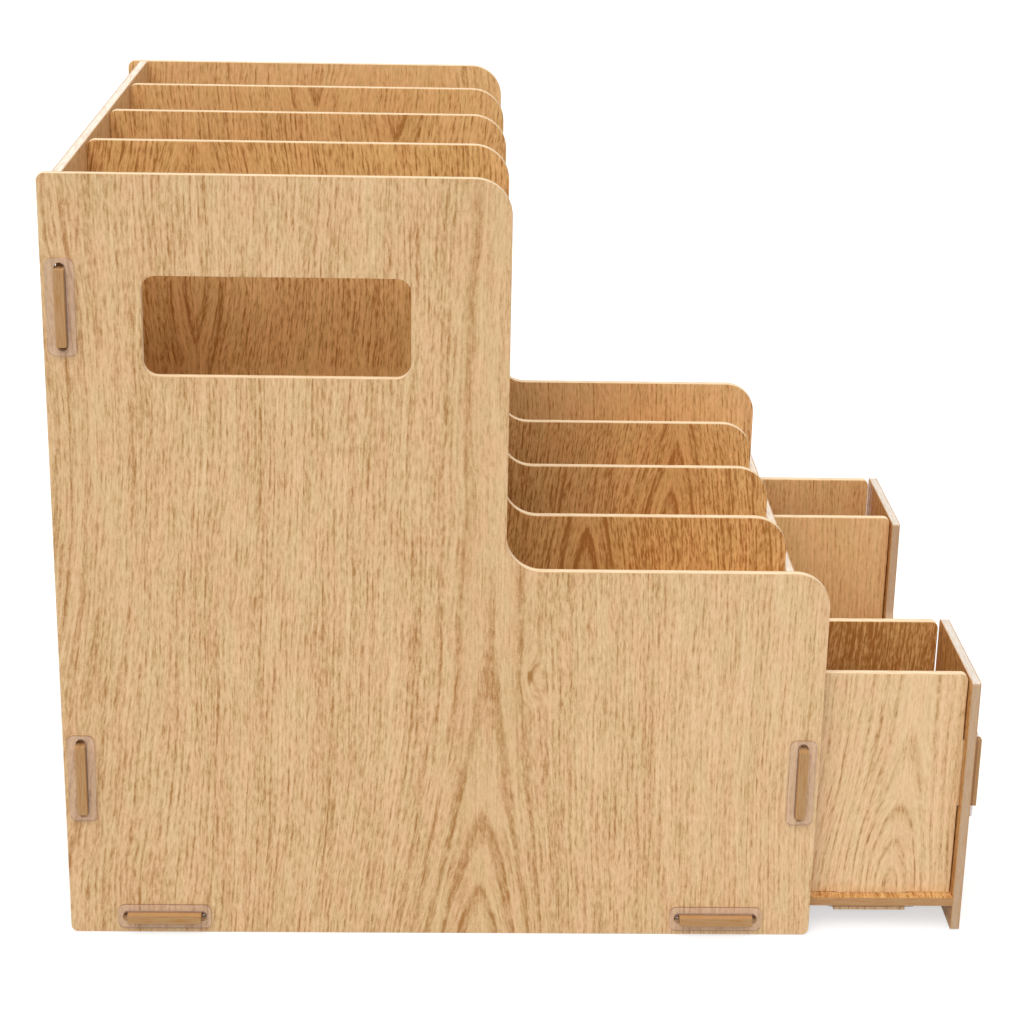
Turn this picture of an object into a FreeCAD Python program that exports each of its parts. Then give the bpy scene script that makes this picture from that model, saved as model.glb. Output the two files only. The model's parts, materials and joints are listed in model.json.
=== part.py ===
"""Desk file organizer with an inset drawer, built from slotted boards and clear locking clips.

Lengths are millimetres. Places are first written in the carcass frame: x runs forward from the
rear edge of the side panels, y from the outer face of the near side panel, z up from the desk.
The finished boards are then shifted so that the origin is the bottom centre of the whole object,
with the drawer at +X and the near side panel at -Y. The drawer stands pulled out.
"""
import FreeCAD, Part
import math
import os
import re
import Sketcher

SIZES = [
    ("board", 4, "thickness of every board but the drawer bottom"),
    ("tray_board", 4, "thickness of the drawer bottom"),
    ("slot_pitch", 65, "spacing of the upright boards, face to face"),
    ("panel_length", 320, "side panel, rear edge to front edge"),
    ("panel_height", 334, "side panel, desk to top"),
    ("tall_depth", 185, "tall rear part of the side panel"),
    ("low_height", 169.5, "height of the low front part"),
    ("step_radius", 15, "rounded and hollow corners of the stepped outline"),
    ("corner_radius", 3, "small outer corners of the side panels and drawer walls"),
    ("window_setback", 39, "hand window, from the rear edge"),
    ("window_length", 106.5, "hand window"),
    ("window_base", 252, "hand window, bottom edge above the desk"),
    ("window_height", 41.5, "hand window"),
    ("window_radius", 6, "hand window corners"),
    ("back_inset", 5.6, "rear edge of the sides to the back panel"),
    ("back_foot", 2.5, "back panel above the desk"),
    ("front_inset", 5.35, "front edge of the sides to the front board"),
    ("rail_rise", 15, "front rail above the deck"),
    ("rail_lip", 4.5, "wood of the front rail under the deck"),
    ("rail_play", 1, "front rail above the drawer walls"),
    ("leg_width", 5, "legs of the front board beside the drawer"),
    ("leg_play", 0.7, "legs above the drawer bottom"),
    ("upper_tenon", 280.5, "height of the upper rear tenons"),
    ("lower_tenon", 74, "height of the lower tenons"),
    ("floor_gap", 6, "underside of the floor board above the desk"),
    ("floor_tenon_rear", 40.5, "rear floor tenon, from the rear edge"),
    ("floor_tenon_setback", 41, "front floor tenon, from the front edge"),
    ("foot_tenon_rear", 60, "rear foot tenon of a divider, from the rear edge"),
    ("foot_tenon_setback", 51.5, "front foot tenon of a divider, from the back of the bay"),
    ("tenon_length", 31.5, "every long tenon"),
    ("tenon_proud", 3.8, "how far a clipped tenon stands out"),
    ("foot_proud", 5, "how far the foot tenons of the drawer walls stand out"),
    ("peg_length", 8, "short divider tenon in the front rail"),
    ("slot_play", 2.3, "slot beyond each end of its tenon"),
    ("slot_ease", 0.25, "slot beyond each face of its tenon"),
    ("clip_length", 40, "clear locking clip"),
    ("clip_width", 11.5, "clear locking clip"),
    ("clip_thickness", 1.5, "clear locking clip"),
    ("clip_radius", 3, "clear locking clip corners"),
    ("pull_out", 63.3, "open drawer: inner face of its front beyond the side panels"),
    ("close_gap", 0.35, "closed drawer: its front to the front board"),
    ("stop_gap", 0.3, "open drawer: its back to the front board legs"),
    ("bay_gap", 1, "closed drawer: its back to the back of the bay"),
    ("glide_gap", 0.3, "glide clips above the runners"),
    ("side_gap", 0.5, "drawer to the side panels"),
    ("wall_inset", 5, "outer drawer wall from the edge of the drawer bottom"),
    ("wall_height", 104.7, "drawer walls above the drawer bottom"),
    ("wall_gap", 0.5, "near outer and far inner drawer walls to the drawer front"),
    ("near_inner_gap", 2.3, "near inner drawer wall to the drawer front"),
    ("far_outer_gap", 1.8, "far outer drawer wall to the drawer front"),
    ("wall_tenon_setback", 35.3, "foot tenon of a drawer wall, from the drawer front"),
    ("inner_tenon_rise", 2, "front tenons of the inner drawer walls above the drawer bottom"),
    ("front_foot", 0.5, "drawer front above the desk"),
    ("front_drop", 1.5, "drawer walls above the drawer front"),
    ("front_dip", 66, "height of the low middle of the drawer front"),
    ("dip_radius", 6, "corners of the low middle of the drawer front"),
    ("front_return", 4, "tall part of the drawer front beyond the inner wall"),
    ("front_radius", 1.5, "top corners of the drawer front"),
    ("back_drop", 2, "drawer walls above the drawer back"),
    ("tray_tenon", 38, "outer tenons of the drawer bottom, from the near outer face"),
]

PLACES = {
    "width": "4 * slot_pitch + board",
    "inner_right": "width - board",
    "back_inner": "back_inset + board",
    "back_middle": "back_inset + board / 2",
    "front_outer": "panel_length - front_inset",
    "front_inner": "front_outer - board",
    "front_middle": "front_outer - board / 2",
    "floor_top": "floor_gap + board",
    "floor_middle": "floor_gap + board / 2",
    "tray_base": "floor_top + glide_gap + clip_thickness",
    "tray_top": "tray_base + tray_board",
    "tray_middle": "tray_base + tray_board / 2",
    "wall_top": "tray_top + wall_height",
    "rail_base": "wall_top + rail_play",
    "deck_base": "rail_base + rail_lip",
    "deck_top": "deck_base + board",
    "deck_middle": "deck_base + board / 2",
    "rail_height": "deck_top + rail_rise",
    "peg_centre": "(deck_top + rail_height) / 2",
    "leg_foot": "tray_top + leg_play",
    "drawer_face": "panel_length + pull_out",
    "drawer_outer": "drawer_face + board",
    "drawer_rear": "front_inner - stop_gap - board",
    "drawer_inner": "front_inner - stop_gap",
    "travel": "drawer_face - front_outer - close_gap",
    "bay_inner": "drawer_rear - travel - bay_gap",
    "bay_rear": "bay_inner - board",
    "floor_tenon_front": "panel_length - floor_tenon_setback",
    "foot_tenon_front": "bay_rear - foot_tenon_setback",
    "deck_tenon": "(bay_rear + front_inner) / 2",
    "drawer_near": "board + side_gap",
    "drawer_far": "width - board - side_gap",
    "wall_1": "drawer_near + wall_inset",
    "wall_2": "slot_pitch",
    "wall_3": "width - slot_pitch - board",
    "wall_4": "drawer_far - wall_inset - board",
    "wall_front": "drawer_face - wall_gap",
    "near_inner_front": "drawer_face - near_inner_gap",
    "far_outer_front": "drawer_face - far_outer_gap",
    "wall_foot_tenon": "drawer_face - wall_tenon_setback",
    "runner_near": "wall_1 - side_gap",
    "runner_far": "wall_4 + board + side_gap",
    "runner_rear": "wall_foot_tenon - travel - tenon_length / 2 - bay_gap",
    "inner_tenon": "tray_top + inner_tenon_rise + tenon_length / 2",
    "front_top": "wall_top - front_drop",
    "dip_near": "wall_2 + board + front_return",
    "dip_far": "wall_3 - front_return",
    "bay_tenon_near": "1.5 * slot_pitch + board / 2",
    "bay_tenon_far": "2.5 * slot_pitch + board / 2",
    "overall_length": "drawer_outer + tenon_proud",
}

doc = FreeCAD.newDocument("desk_file_organizer")
sheet = doc.addObject("Spreadsheet::Sheet", "Sizes")
for row, (alias, value, note) in enumerate(SIZES, start=1):
    sheet.set("A%d" % row, note)
    sheet.set("B%d" % row, str(value))
    sheet.setAlias("B%d" % row, alias)
doc.recompute()

PLANE_AXES = {"XZ_Plane": "y", "YZ_Plane": "x", "XY_Plane": "z"}
ORIGIN = {"x": "-overall_length / 2", "y": "-width / 2", "z": "0"}
NODES = []


def full(text):
    """Spells a size expression out in spreadsheet cells."""
    def cell(match):
        word = match.group(0)
        return "(%s)" % full(PLACES[word]) if word in PLACES else "Sizes." + word
    return re.sub(r"[a-z][a-z_0-9]*\b(?!\()", cell, str(text))


def measure(text):
    """The present value of a size expression."""
    return float(sheet.evalExpression(full(text)))


def tenon(along, centre, shoulder, tip, length="tenon_length", turn=1):
    """Outline points of a tenon on an edge that runs along 'u' or 'v', forwards or backwards."""
    first = "%s - %d * %s / 2" % (centre, turn, length)
    last = "%s + %d * %s / 2" % (centre, turn, length)
    points = [(first, shoulder), (first, tip), (last, tip), (last, shoulder)]
    return points if along == "u" else [(v, u) for u, v in points]


def slot(along, u, v, length="tenon_length", thickness="board"):
    """A round-ended slot for a tenon: its direction, centre, length and width."""
    return along, u, v, "%s + 2 * slot_play" % length, "%s + 2 * slot_ease" % thickness


def new_sketch(body, name, plane):
    sketch = body.newObject("Sketcher::SketchObject", name)
    support = [part for part in body.Origin.OriginFeatures if part.Role == plane][0]
    sketch.AttachmentSupport = [(support, "")]
    sketch.MapMode = "FlatFace"
    return sketch


def pin(sketch, geometry, point, u, v):
    """Holds one point of a sketch at a place given by two size expressions."""
    for kind, text in (("DistanceX", u), ("DistanceY", v)):
        limit = Sketcher.Constraint(kind, -1, 1, geometry, point, measure(text))
        index = sketch.addConstraint(limit)
        sketch.setExpression("Constraints[%d]" % index, full(text))


def draw_loop(sketch, points):
    """A closed loop of straight edges through the given points."""
    spots = [FreeCAD.Vector(measure(u), measure(v), 0) for u, v in points]
    lines = [sketch.addGeometry(Part.LineSegment(start, end))
             for start, end in zip(spots, spots[1:] + spots[:1])]
    for line, following in zip(lines, lines[1:] + lines[:1]):
        sketch.addConstraint(Sketcher.Constraint("Coincident", line, 2, following, 1))
    for line, (u, v) in zip(lines, points):
        pin(sketch, line, 1, u, v)


def draw_slot(sketch, along, u, v, length, width):
    """A round-ended slot: two half circles joined by two tangent lines."""
    turn = 0 if along == "u" else math.pi / 2
    radius = measure(width) / 2
    reach = measure(length) / 2 - radius
    centre = FreeCAD.Vector(measure(u), measure(v), 0)
    forward = FreeCAD.Vector(math.cos(turn), math.sin(turn), 0)
    aside = FreeCAD.Vector(-math.sin(turn), math.cos(turn), 0)
    up = FreeCAD.Vector(0, 0, 1)
    rear, front = centre - forward * reach, centre + forward * reach
    quarter = math.pi / 2
    rear_arc = sketch.addGeometry(Part.ArcOfCircle(
        Part.Circle(rear, up, radius), turn + quarter, turn + 3 * quarter))
    front_arc = sketch.addGeometry(Part.ArcOfCircle(
        Part.Circle(front, up, radius), turn - quarter, turn + quarter))
    left = sketch.addGeometry(Part.LineSegment(rear + aside * radius, front + aside * radius))
    right = sketch.addGeometry(Part.LineSegment(rear - aside * radius, front - aside * radius))
    for arc, end, line, start in ((rear_arc, 1, left, 1), (front_arc, 2, left, 2),
                                  (rear_arc, 2, right, 1), (front_arc, 1, right, 2)):
        sketch.addConstraint(Sketcher.Constraint("Tangent", arc, end, line, start))
    size = sketch.addConstraint(Sketcher.Constraint("Radius", rear_arc, radius))
    sketch.setExpression("Constraints[%d]" % size, full("(%s) / 2" % width))
    sketch.addConstraint(Sketcher.Constraint("Equal", rear_arc, front_arc))
    shift = "((%s) / 2 - (%s) / 2)" % (length, width)
    for arc, sign in ((rear_arc, "-"), (front_arc, "+")):
        place = "%s %s %s" % (u if along == "u" else v, sign, shift)
        pin(sketch, arc, 3, *((place, v) if along == "u" else (u, place)))


def edges_at(shape, plane, corners):
    """Names of the edges that cross the board at the given outline corners."""
    names = []
    for u, v in corners:
        spot = (measure(u), measure(v))
        for number, edge in enumerate(shape.Edges, start=1):
            ends = [as_drawn(vertex.Point, plane) for vertex in edge.Vertexes]
            if len(ends) == 2 and all(math.dist(end, spot) < 1e-4 for end in ends):
                names.append("Edge%d" % number)
    return names


def as_drawn(point, plane):
    return {"XZ_Plane": (point.x, point.z), "YZ_Plane": (point.y, point.z),
            "XY_Plane": (point.x, point.y)}[plane]


def round_corners(body, plane, corners, radius):
    """Rounds the outline of a board at some of its corners."""
    base = body.Tip
    fillet = body.newObject("PartDesign::Fillet", "Corners")
    fillet.Base = (base, edges_at(base.Shape, plane, corners))
    fillet.setExpression("Radius", full(radius))
    doc.recompute()


def cut_out(body, name, plane, draw):
    """Cuts what draw() sketches through the whole board, and makes sure that it did."""
    before = body.Tip.Shape.Volume
    sketch = new_sketch(body, name + "Sketch", plane)
    draw(sketch)
    pocket = body.newObject("PartDesign::Pocket", name)
    pocket.Profile = sketch
    pocket.Type = "ThroughAll"
    pocket.Midplane = True
    doc.recompute()
    if not pocket.Shape.Volume < before:
        raise RuntimeError("%s: %s cut nothing" % (body.Label, name))


def plate(label, plane, level, thickness, loops):
    """A flat piece: closed loops on a plane, thickened along +X, +Y or +Z from the given level."""
    body = doc.addObject("PartDesign::Body", label)
    body.Label = label
    body.AllowCompound = True
    sketch = new_sketch(body, "Outline", plane)
    for points in loops:
        draw_loop(sketch, points)
    pad = body.newObject("PartDesign::Pad", "Thickness")
    pad.Profile = sketch
    pad.setExpression("Length", full(thickness))
    pad.Reversed = plane == "XZ_Plane"
    for axis, start in ORIGIN.items():
        place = "%s + %s" % (start, level) if axis == PLANE_AXES[plane] else start
        body.setExpression(".Placement.Base." + axis, full(place))
    doc.recompute()
    NODES.append(body)
    return body


def board(label, plane, level, outline, slots=(), thickness="board"):
    """A board: its outline, and round-ended slots for the tenons of other boards."""
    body = plate(label, plane, level, thickness, [outline])
    if slots:
        cut_out(body, "Slots", plane, lambda sketch: [draw_slot(sketch, *one) for one in slots])
    return body


def clip_corners(along, u, v):
    half_u, half_v = ("clip_length", "clip_width") if along == "u" else ("clip_width", "clip_length")
    return [("%s %s %s / 2" % (u, across, half_u), "%s %s %s / 2" % (v, up, half_v))
            for across, up in (("-", "-"), ("+", "-"), ("+", "+"), ("-", "+"))]


def clips(label, plane, level, places, grip="board"):
    """Locking clips lying on one face: frames whose opening grips the two faces of a tenon."""
    frames = [clip_corners(along, u, v) for along, u, v in places]
    body = plate(label, plane, level, "clip_thickness", frames)
    round_corners(body, plane, [corner for frame in frames for corner in frame], "clip_radius")
    cut_out(body, "Openings", plane,
            lambda sketch: [draw_slot(sketch, along, u, v, "tenon_length + 2 * slot_play", grip)
                            for along, u, v in places])
    return body


def side_outline():
    return [("0", "0"), ("panel_length", "0"), ("panel_length", "low_height"),
            ("tall_depth", "low_height"), ("tall_depth", "panel_height"), ("0", "panel_height")]


def side_joints():
    """Tenons that come through a side panel: their direction and centre."""
    return [("v", "back_middle", "upper_tenon"), ("v", "back_middle", "lower_tenon"),
            ("v", "front_middle", "lower_tenon"),
            ("u", "floor_tenon_rear", "floor_middle"), ("u", "floor_tenon_front", "floor_middle")]


def window(sketch):
    right = "window_setback + window_length"
    top = "window_base + window_height"
    draw_loop(sketch, [("window_setback", "window_base"), (right, "window_base"),
                       (right, top), ("window_setback", top)])


def side_panel(label, level):
    plane = "XZ_Plane"
    body = board(label, plane, level, side_outline(), [slot(*joint) for joint in side_joints()])
    cut_out(body, "Window", plane, window)
    outline = side_outline()
    round_corners(body, plane, outline[2:5], "step_radius")
    round_corners(body, plane, outline[:2] + outline[5:], "corner_radius")
    right = "window_setback + window_length"
    top = "window_base + window_height"
    corners = [(u, v) for u in ("window_setback", right) for v in ("window_base", top)]
    round_corners(body, plane, corners, "window_radius")


def divider(label, number):
    """A stepped upright between the file slots, notched at the lower front for the drawer bay."""
    plane = "XZ_Plane"
    foot_tip = "floor_gap - tenon_proud"
    back_tip = "back_inset - tenon_proud"
    outline = [("back_inner", "floor_top")]
    outline += tenon("u", "foot_tenon_rear", "floor_top", foot_tip)
    outline += tenon("u", "foot_tenon_front", "floor_top", foot_tip)
    outline += [("bay_rear", "floor_top"), ("bay_rear", "deck_top")]
    outline += tenon("u", "deck_tenon", "deck_top", "deck_base")
    outline += [("front_inner", "deck_top")]
    outline += tenon("v", "peg_centre", "front_inner", "front_outer", "peg_length")
    corners = [("front_inner", "low_height"), ("tall_depth", "low_height"),
               ("tall_depth", "panel_height"), ("back_inner", "panel_height")]
    outline += corners
    outline += tenon("v", "upper_tenon", "back_inner", back_tip, turn=-1)
    outline += tenon("v", "lower_tenon", "back_inner", back_tip, turn=-1)
    body = board(label, plane, "%d * slot_pitch" % number, outline)
    round_corners(body, plane, corners[1:3], "step_radius")
    round_corners(body, plane, corners[3:], "corner_radius")
    straight = "low_height - peg_centre - peg_length / 2"
    round_corners(body, plane, corners[:1], "min(step_radius; 0.9 * (%s))" % straight)


def back_panel():
    near, far = "0 - tenon_proud", "width + tenon_proud"
    outline = [("board", "back_foot"), ("inner_right", "back_foot")]
    outline += tenon("v", "lower_tenon", "inner_right", far)
    outline += tenon("v", "upper_tenon", "inner_right", far)
    outline += [("inner_right", "panel_height"), ("board", "panel_height")]
    outline += tenon("v", "upper_tenon", "board", near, turn=-1)
    outline += tenon("v", "lower_tenon", "board", near, turn=-1)
    board("back_panel", "YZ_Plane", "back_inset", outline, [slot(*joint) for joint in back_joints()])


def back_joints():
    return [("v", "%d * slot_pitch + board / 2" % number, height)
            for number in (1, 2, 3) for height in ("lower_tenon", "upper_tenon")]


def front_board():
    """A rail above the drawer, with a narrow leg down each side of the drawer."""
    near, far = "0 - tenon_proud", "width + tenon_proud"
    leg_near, leg_far = "board + leg_width", "inner_right - leg_width"
    outline = [("board", "leg_foot"), (leg_near, "leg_foot"), (leg_near, "rail_base"),
               (leg_far, "rail_base"), (leg_far, "leg_foot"), ("inner_right", "leg_foot")]
    outline += tenon("v", "lower_tenon", "inner_right", far)
    outline += [("inner_right", "rail_height"), ("board", "rail_height")]
    outline += tenon("v", "lower_tenon", "board", near, turn=-1)
    slots = [slot("u", place, "deck_middle") for place in ("bay_tenon_near", "bay_tenon_far")]
    slots += [slot("v", "%d * slot_pitch + board / 2" % number, "peg_centre", "peg_length")
              for number in (1, 2, 3)]
    board("front_board", "YZ_Plane", "front_inner", outline, slots)


def floor_joints():
    """Tenons that come down through the floor board: their direction and centre."""
    feet = [("u", place, "%d * slot_pitch + board / 2" % number)
            for number in (1, 2, 3) for place in ("foot_tenon_rear", "foot_tenon_front")]
    middle = "bay_rear + board / 2"
    return feet + [("v", middle, place) for place in ("bay_tenon_near", "bay_tenon_far")]


def floor_board():
    """The floor of the file slots, with a runner down each side of the bay for the drawer."""
    near, far = "0 - tenon_proud", "width + tenon_proud"
    outline = [("back_inner", "board")]
    outline += tenon("u", "floor_tenon_rear", "board", near)
    outline += tenon("u", "floor_tenon_front", "board", near)
    outline += [("front_outer", "board"), ("front_outer", "runner_near"), ("runner_rear", "runner_near"),
                ("runner_rear", "runner_far"), ("front_outer", "runner_far"), ("front_outer", "inner_right")]
    outline += tenon("u", "floor_tenon_front", "inner_right", far, turn=-1)
    outline += tenon("u", "floor_tenon_rear", "inner_right", far, turn=-1)
    outline += [("back_inner", "inner_right")]
    board("floor_board", "XY_Plane", "floor_gap", outline, [slot(*joint) for joint in floor_joints()])


def deck_board():
    """The shelf over the drawer bay, which carries the front parts of the dividers."""
    outline = [("bay_rear", "board"), ("front_inner", "board")]
    for place in ("bay_tenon_near", "bay_tenon_far"):
        outline += tenon("v", place, "front_inner", "front_outer")
    outline += [("front_inner", "inner_right"), ("bay_rear", "inner_right")]
    slots = [slot("u", "deck_tenon", "%d * slot_pitch + board / 2" % number) for number in (1, 2, 3)]
    board("deck_board", "XY_Plane", "deck_base", outline, slots)


def bay_back():
    """The back of the drawer bay, standing on the floor board and carrying the deck."""
    foot_tip = "floor_gap - tenon_proud"
    outline = [("board", "floor_top")]
    for place in ("bay_tenon_near", "bay_tenon_far"):
        outline += tenon("u", place, "floor_top", foot_tip)
    outline += [("inner_right", "floor_top"), ("inner_right", "deck_base"), ("board", "deck_base")]
    board("bay_back_board", "YZ_Plane", "bay_rear", outline)


def drawer_walls():
    """The four drawer walls: name, near face, height of the front tenon, and front edge."""
    return [("drawer_near_outer_wall", "wall_1", "lower_tenon", "wall_front"),
            ("drawer_near_inner_wall", "wall_2", "inner_tenon", "near_inner_front"),
            ("drawer_far_inner_wall", "wall_3", "inner_tenon", "wall_front"),
            ("drawer_far_outer_wall", "wall_4", "lower_tenon", "far_outer_front")]


def drawer_wall(label, level, front_tenon, front):
    plane = "XZ_Plane"
    foot_tip = "tray_base - foot_proud"
    front_tip = "drawer_outer + tenon_proud"
    outline = [("drawer_inner", "tray_top")]
    outline += tenon("u", "wall_foot_tenon", "tray_top", foot_tip)
    outline += [(front, "tray_top")]
    outline += tenon("v", front_tenon, front, front_tip)
    corners = [(front, "wall_top"), ("drawer_inner", "wall_top")]
    outline += corners
    outline += tenon("v", "lower_tenon", "drawer_inner", "drawer_rear", turn=-1)
    body = board(label, plane, level, outline)
    round_corners(body, plane, corners, "corner_radius")


def tray_joints():
    """Tenons of the drawer bottom through the drawer front and back, across the drawer."""
    return ["tray_tenon", "width / 2", "width - tray_tenon"]


def drawer_bottom():
    outline = [("drawer_inner", "drawer_near"), ("drawer_face", "drawer_near")]
    for place in tray_joints():
        outline += tenon("v", place, "drawer_face", "drawer_outer + tenon_proud")
    outline += [("drawer_face", "drawer_far"), ("drawer_inner", "drawer_far")]
    for place in reversed(tray_joints()):
        outline += tenon("v", place, "drawer_inner", "drawer_rear", turn=-1)
    slots = [slot("u", "wall_foot_tenon", "%s + board / 2" % level)
             for label, level, front_tenon, front in drawer_walls()]
    board("drawer_bottom", "XY_Plane", "tray_base", outline, slots, "tray_board")


def drawer_front():
    """Tall at both ends, where it closes the two boxes, and low in the middle."""
    plane = "YZ_Plane"
    dip = [("dip_far", "front_dip"), ("dip_near", "front_dip")]
    tops = [("drawer_far", "front_top"), ("dip_far", "front_top"),
            ("dip_near", "front_top"), ("drawer_near", "front_top")]
    outline = [("drawer_near", "front_foot"), ("drawer_far", "front_foot")]
    outline += tops[:2] + dip + tops[2:]
    slots = [slot("v", "%s + board / 2" % level, height)
             for label, level, height, front in drawer_walls()]
    slots += [slot("u", place, "tray_middle", thickness="tray_board") for place in tray_joints()]
    body = board("drawer_front", plane, "drawer_face", outline, slots)
    round_corners(body, plane, dip, "dip_radius")
    round_corners(body, plane, tops, "front_radius")


def drawer_back():
    """Wider than the gap between the front board legs, so that it stops the open drawer."""
    top = "wall_top - back_drop"
    outline = [("drawer_near", "tray_base"), ("drawer_far", "tray_base"),
               ("drawer_far", top), ("drawer_near", top)]
    slots = [slot("v", "%s + board / 2" % level, "lower_tenon")
             for label, level, height, front in drawer_walls()]
    slots += [slot("u", place, "tray_middle", thickness="tray_board") for place in tray_joints()]
    board("drawer_back", "YZ_Plane", "drawer_rear", outline, slots)


def build():
    side_panel("near_side_panel", "0")
    side_panel("far_side_panel", "inner_right")
    for number in (1, 2, 3):
        divider("divider_%d" % number, number)
    back_panel()
    front_board()
    floor_board()
    deck_board()
    bay_back()
    drawer_front()
    drawer_bottom()
    drawer_back()
    for label, level, front_tenon, front in drawer_walls():
        drawer_wall(label, level, front_tenon, front)
    clips("near_side_clips", "XZ_Plane", "0 - clip_thickness", side_joints())
    clips("far_side_clips", "XZ_Plane", "width", side_joints())
    clips("back_panel_clips", "YZ_Plane", "back_inset - clip_thickness", back_joints())
    clips("floor_clips", "XY_Plane", "floor_gap - clip_thickness", floor_joints())
    wall_places = [("v", "%s + board / 2" % level, height)
                   for label, level, height, front in drawer_walls()]
    clips("drawer_front_clips", "YZ_Plane", "drawer_outer", wall_places)
    tray_places = [("u", place, "tray_middle") for place in tray_joints()]
    clips("drawer_bottom_clips", "YZ_Plane", "drawer_outer", tray_places, "tray_board")
    glide_places = [("u", "wall_foot_tenon", "%s + board / 2" % level)
                    for label, level, height, front in drawer_walls()]
    clips("drawer_glide_clips", "XY_Plane", "tray_base - clip_thickness", glide_places)


def check():
    """Refuses a document with a failed object or a bad solid."""
    for thing in doc.Objects:
        if {"Invalid", "Error"} & set(thing.State):
            raise RuntimeError("%s failed: %s" % (thing.Label, thing.State))
    for node in NODES:
        if node.Shape.isNull() or not node.Shape.isValid() or not node.Shape.Solids:
            raise RuntimeError("%s has no valid solid" % node.Label)


def write():
    os.makedirs("parts", exist_ok=True)
    for node in NODES:
        node.Shape.exportStep("parts/%s.step" % node.Label)


build()
doc.recompute()
check()
write()
print("%d nodes, drawer travel %.3f mm" % (len(NODES), measure("travel")))
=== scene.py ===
"""Desk file organizer with a pull-out drawer: oak-veneered boards and clear locking clips."""

import json
import math

import bmesh
import bpy
from mathutils import Matrix, Vector


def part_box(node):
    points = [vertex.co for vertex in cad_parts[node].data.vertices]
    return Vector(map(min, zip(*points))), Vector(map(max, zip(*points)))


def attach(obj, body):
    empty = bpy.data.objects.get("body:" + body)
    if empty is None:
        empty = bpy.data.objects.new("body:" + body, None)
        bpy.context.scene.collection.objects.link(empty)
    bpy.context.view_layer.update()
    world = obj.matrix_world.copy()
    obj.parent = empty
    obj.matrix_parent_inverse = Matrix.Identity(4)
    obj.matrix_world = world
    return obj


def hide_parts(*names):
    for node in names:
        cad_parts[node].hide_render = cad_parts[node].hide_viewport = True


bl_info = {
    "name": "Desk file organizer",
    "version": (1, 0, 0),
    "blender": (4, 5, 0),
    "location": "3D View > Sidebar > Organizer",
    "description": "Dresses the boards and clips of a desk file organizer with a drawer",
    "category": "Object",
}

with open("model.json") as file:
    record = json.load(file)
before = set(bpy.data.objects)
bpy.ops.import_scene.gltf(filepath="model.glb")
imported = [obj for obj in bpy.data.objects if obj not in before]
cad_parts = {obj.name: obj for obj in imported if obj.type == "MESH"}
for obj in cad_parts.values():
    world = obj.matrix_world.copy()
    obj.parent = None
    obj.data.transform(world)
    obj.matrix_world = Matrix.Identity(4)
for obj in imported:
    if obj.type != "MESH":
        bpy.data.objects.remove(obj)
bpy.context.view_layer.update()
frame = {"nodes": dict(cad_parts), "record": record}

MM = 0.001
X, Y, Z = 0, 1, 2


def srgb(red, green, blue):
    """A colour written as 0 to 255 display values, as the linear values that shaders use."""
    def linear(level):
        share = level / 255
        return share / 12.92 if share <= 0.04045 else ((share + 0.055) / 1.055) ** 2.4
    return linear(red), linear(green), linear(blue)


# ---------------------------------------------------------------- settings

def colour_property(name, description, default):
    return bpy.props.FloatVectorProperty(
        name=name, description=description, default=default,
        subtype="COLOR", size=3, min=0.0, max=1.0)


def length_property(name, description, default):
    return bpy.props.FloatProperty(
        name=name, description=description, default=default, subtype="DISTANCE", unit="LENGTH", min=0.0)


def share_property(name, description, default):
    return bpy.props.FloatProperty(name=name, description=description, default=default, min=0.0)


class BoardSettings(bpy.types.PropertyGroup):
    edge_ease: length_property("Edge ease", "Radius of the sanded board edges", 0.3 * MM)
    pore_width: length_property("Pore width", "Width of the pores across the grain", 0.65 * MM)
    pore_length: length_property("Pore length", "Length of the pores along the grain", 3.6 * MM)
    furrow_spacing: length_property("Furrow spacing", "Distance between the fine dark lines", 2.25 * MM)
    ring_spacing: length_property("Ring spacing", "Distance between the growth rings", 3.2 * MM)
    dash_contrast: share_property("Dash contrast", "Strength of the short pores", 0.95)
    streak_contrast: share_property("Streak contrast", "Strength of the long streaks", 0.95)
    speck_contrast: share_property("Speck contrast", "Strength of the fine specks", 0.35)
    band_contrast: share_property("Band contrast", "Strength of the broad bands", 0.42)
    furrow_contrast: share_property("Furrow contrast", "Strength of the fine dark lines", 0.26)
    ring_contrast: share_property("Ring contrast", "Strength of the growth rings near a heart", 0.24)
    pale_wood: colour_property("Pale wood", "Lightest fibres of the veneer", srgb(244, 209, 166))
    plain_wood: colour_property("Plain wood", "Middle tone of the veneer", srgb(225, 186, 139))
    dark_wood: colour_property("Dark wood", "Pores and late wood", srgb(174, 121, 61))
    rosy_tint: colour_property("Rosy tint", "Tint of the rosy patches", srgb(255, 251, 247))
    olive_tint: colour_property("Olive tint", "Tint of the yellow patches", srgb(252, 254, 247))
    # Painted shade: this darker, warmer tint stands in for shade and warm bounce light between the boards.
    painted_shade_tint: colour_property("Inner tint", "Warmer stain of the boards inside", srgb(250, 234, 200))
    cut_core: colour_property("Cut core", "Fibreboard on the cut edges", srgb(248, 224, 186))
    white_core: colour_property("White core", "Cut edges of the back panel", srgb(246, 236, 220))
    skin: colour_property("Skin", "Veneer and glue line seen on the cut edges", srgb(190, 144, 92))
    grey_core: colour_property("Grey core", "Top edges of the drawer front", srgb(226, 219, 208))
    rosy_core: colour_property("Rosy core", "Upright edges of the drawer front", srgb(202, 172, 141))
    brown_core: colour_property("Brown core", "Edges of the drawer bottom", srgb(190, 148, 104))
    tip_core: colour_property("Tip core", "Darkened tenons", srgb(188, 148, 102))


class ClipSettings(bpy.types.PropertyGroup):
    clearance: length_property("Clearance", "Air between a clip and the wood it locks", 0.04 * MM)
    rim: length_property("Rim", "Rounding of the moulded edges", 0.6 * MM)
    plastic: colour_property("Plastic", "Tint of the clear plastic", srgb(250, 228, 214))
    # Painted shade: a dark brown for the clip sides, standing in for the dark lines that clear plastic shows
    # at its edges.
    painted_side_shade: colour_property("Deep plastic", "Tint seen through the sides of a clip", srgb(140, 86, 52))


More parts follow.
